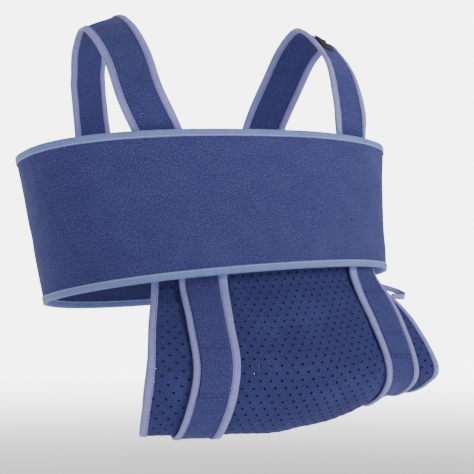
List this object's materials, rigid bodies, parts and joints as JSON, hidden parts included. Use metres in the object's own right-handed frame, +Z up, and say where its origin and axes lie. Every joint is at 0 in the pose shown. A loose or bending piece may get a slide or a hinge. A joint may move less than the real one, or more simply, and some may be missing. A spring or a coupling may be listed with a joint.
{
  "type": "arm sling",
  "caption": "Arm sling: perforated trough for a bent forearm, hung on webbing from two padded shoulder straps, with a wide band round the chest and upper arm.",
  "frame": {"origin": "midway between the tops of the two shoulder straps, on their underside", "axes": "+X to the wearer's left, +Y to the wearer's back, +Z up"},
  "size_m": [0.4385, 0.3077, 0.4626],
  "materials": {
    "loop_fabric": "brushed navy loop fabric on thin foam",
    "perforated_foam": "navy foam laminate with punched vent holes",
    "lilac_tape": "woven lilac edge tape",
    "sky_tape": "woven pale blue edge tape",
    "hook": "black hook tape",
    "label": "plain black woven label"
  },
  "bodies": {
    "sling": {"band_lower_tape": "sky_tape", "band_upper_tape": "sky_tape", "chest_band": "loop_fabric", "cradle_back_hem": "lilac_tape", "cradle_elbow_tape": "lilac_tape", "cradle_front_hem": "lilac_tape", "cradle_panel": "perforated_foam", "cradle_wrist_tape": "lilac_tape", "elbow_strap": "loop_fabric", "elbow_strap_facing": "loop_fabric", "elbow_strap_hook_patch": "hook", "elbow_strap_inner_tape": "lilac_tape", "elbow_strap_outer_tape": "lilac_tape", "left_shoulder_strap": "loop_fabric", "left_shoulder_strap_inner_tape": "lilac_tape", "left_shoulder_strap_outer_tape": "lilac_tape", "right_shoulder_strap": "loop_fabric", "right_shoulder_strap_inner_tape": "lilac_tape", "right_shoulder_strap_outer_tape": "lilac_tape", "woven_label": "label", "wrist_strap": "loop_fabric", "wrist_strap_facing": "loop_fabric", "wrist_strap_hook_patch": "hook", "wrist_strap_inner_tape": "lilac_tape", "wrist_strap_outer_tape": "lilac_tape"},
    "closure": {"closure_flap": "loop_fabric", "flap_end_tape": "sky_tape", "flap_hook_strip": "hook", "flap_lower_tape": "sky_tape", "flap_upper_tape": "sky_tape"},
    "left_tab": {"left_rear_hook_patch": "hook", "left_rear_tab": "loop_fabric", "left_rear_tab_end_tape": "lilac_tape", "left_rear_tab_inner_tape": "lilac_tape", "left_rear_tab_outer_tape": "lilac_tape"},
    "right_tab": {"right_rear_hook_patch": "hook", "right_rear_tab": "loop_fabric", "right_rear_tab_end_tape": "lilac_tape", "right_rear_tab_inner_tape": "lilac_tape", "right_rear_tab_outer_tape": "lilac_tape"},
    "thumb": {"thumb_loop": "lilac_tape"}
  },
  "joints": [
    {"name": "closure_peel", "type": "hinge", "parent": "sling", "child": "closure", "pos_m": [0.04659, 0.12301, -0.22817], "axis": [0, 0, -1], "range_deg": [0, 100]},
    {"name": "left_tab_peel", "type": "hinge", "parent": "sling", "child": "left_tab", "pos_m": [0.10218, 0.11514, -0.15594], "axis": [0.971, -0.2391, 0], "range_deg": [0, 110]},
    {"name": "right_tab_peel", "type": "hinge", "parent": "sling", "child": "right_tab", "pos_m": [-0.1018, 0.11808, -0.16318], "axis": [0.9802, 0.1981, 0], "range_deg": [0, 110]},
    {"name": "thumb_loop_flex", "type": "hinge", "parent": "sling", "child": "thumb", "pos_m": [0.17316, -0.0646, -0.29164], "axis": [-0.483, 0.7763, 0.4049], "range_deg": [-25, 25], "stiffness_Nm_per_rad": 0.004}
  ]
}
